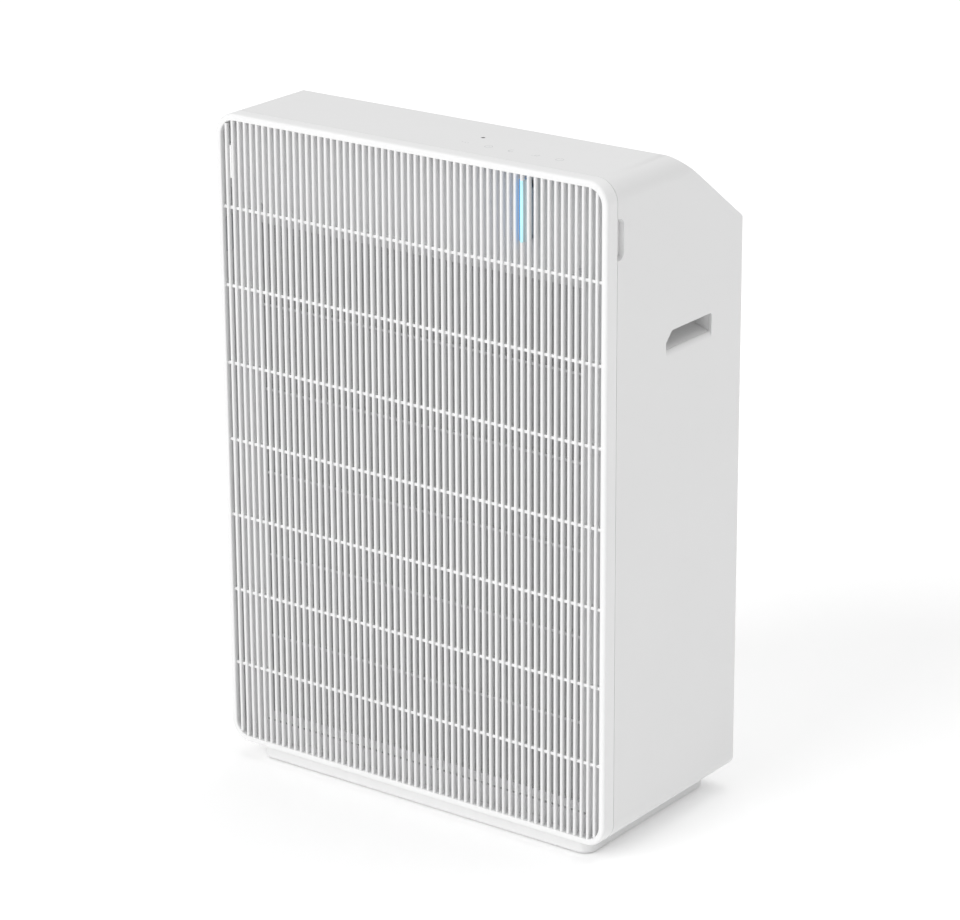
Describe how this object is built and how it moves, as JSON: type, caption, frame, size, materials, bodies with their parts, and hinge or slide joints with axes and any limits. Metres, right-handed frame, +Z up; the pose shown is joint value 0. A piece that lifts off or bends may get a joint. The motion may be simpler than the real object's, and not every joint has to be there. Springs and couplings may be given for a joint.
{
  "type": "air purifier",
  "caption": "Flat free-standing room air purifier: upright rounded box with a finely ribbed pull-off front, sloping rear top with outlet grille, side handles and a low plinth.",
  "frame": {"origin": "on the floor under the middle of the housing", "axes": "+Z up, -Y out of the ribbed front, +X to the right of someone facing the front"},
  "size_m": [0.41, 0.208, 0.603],
  "materials": {
    "housing_white": "fine satin moulding",
    "cover_white": "satin moulding",
    "status_light": "clear light guide, lit blue-white",
    "chassis_white": "plain moulding",
    "grey_plastic": "plain moulding",
    "fan_white": "plain moulding",
    "dark_plastic": "plain moulding",
    "filter_net": "fine net",
    "carbon": "carbon granules in a honeycomb",
    "filter_card": "white coated card",
    "filter_paper": "pleated glass-fibre paper",
    "foam": "soft foam strip",
    "pull_tape": "woven tape",
    "rubber": "matt",
    "plated_steel": "zinc plated",
    "motor_steel": "zinc plated",
    "brass_pins": "polished",
    "circuit_board": "green solder mask",
    "smoked_lens": "smoked"
  },
  "bodies": {
    "housing": {"strike_plate_left": "plated_steel", "strike_plate_right": "plated_steel", "main_shell": "housing_white", "handle_cup_left": "housing_white", "handle_cup_right": "housing_white", "filter_bay": "chassis_white", "upper_fascia": "chassis_white", "fascia_screw_1": "plated_steel", "fascia_screw_2": "plated_steel", "inlet_guard": "dark_plastic", "inlet_bellmouth": "grey_plastic", "scroll_housing": "grey_plastic", "motor_case": "motor_steel", "motor_bearing_front": "plated_steel", "motor_bearing_rear": "plated_steel", "motor_mount_1": "rubber", "motor_screw_1": "plated_steel", "motor_mount_2": "rubber", "motor_screw_2": "plated_steel", "motor_mount_3": "rubber", "motor_screw_3": "plated_steel", "outlet_grille": "housing_white", "rear_panel": "housing_white", "mains_inlet": "dark_plastic", "inlet_pin_left": "brass_pins", "inlet_pin_right": "brass_pins", "rear_screw_1": "plated_steel", "rear_screw_2": "plated_steel", "rear_screw_3": "plated_steel", "rear_screw_4": "plated_steel", "base_plinth": "housing_white", "foot_pad_1": "rubber", "foot_pad_2": "rubber", "foot_pad_3": "rubber", "foot_pad_4": "rubber", "main_board": "circuit_board", "control_board": "circuit_board", "status_light_board": "circuit_board", "air_quality_sensor": "chassis_white", "light_sensor_lens": "smoked_lens"},
    "cover": {"front_cover": "cover_white", "status_light_guide": "status_light", "cover_magnet_left": "plated_steel", "cover_magnet_right": "plated_steel"},
    "prefilter": {"prefilter_frame": "chassis_white", "prefilter_net": "filter_net"},
    "carbon_filter": {"carbon_frame": "dark_plastic", "carbon_core": "carbon"},
    "hepa_filter": {"hepa_frame": "filter_card", "hepa_pleats": "filter_paper", "hepa_gasket": "foam", "hepa_pull_tab": "pull_tape"},
    "fan": {"impeller": "fan_white", "motor_rotor": "motor_steel", "motor_shaft": "plated_steel", "shaft_nut": "plated_steel"}
  },
  "joints": [
    {"name": "cover_pull", "type": "slide", "parent": "housing", "child": "cover", "axis": [0, -1, 0], "range_m": [0, 0.32]},
    {"name": "prefilter_pull", "type": "slide", "parent": "housing", "child": "prefilter", "axis": [0, -1, 0], "range_m": [0, 0.24]},
    {"name": "carbon_pull", "type": "slide", "parent": "housing", "child": "carbon_filter", "axis": [0, -1, 0], "range_m": [0, 0.16]},
    {"name": "hepa_pull", "type": "slide", "parent": "housing", "child": "hepa_filter", "axis": [0, -1, 0], "range_m": [0, 0.096]},
    {"name": "fan_spin", "type": "hinge", "parent": "housing", "child": "fan", "pos_m": [-0.01692, 0, 0.2505], "axis": [0, -1, 0], "continuous": true}
  ],
  "couplings": [
    {"joint": "prefilter_pull", "follows": "cover_pull", "ratio": 0.75},
    {"joint": "carbon_pull", "follows": "cover_pull", "ratio": 0.5},
    {"joint": "hepa_pull", "follows": "cover_pull", "ratio": 0.3}
  ]
}
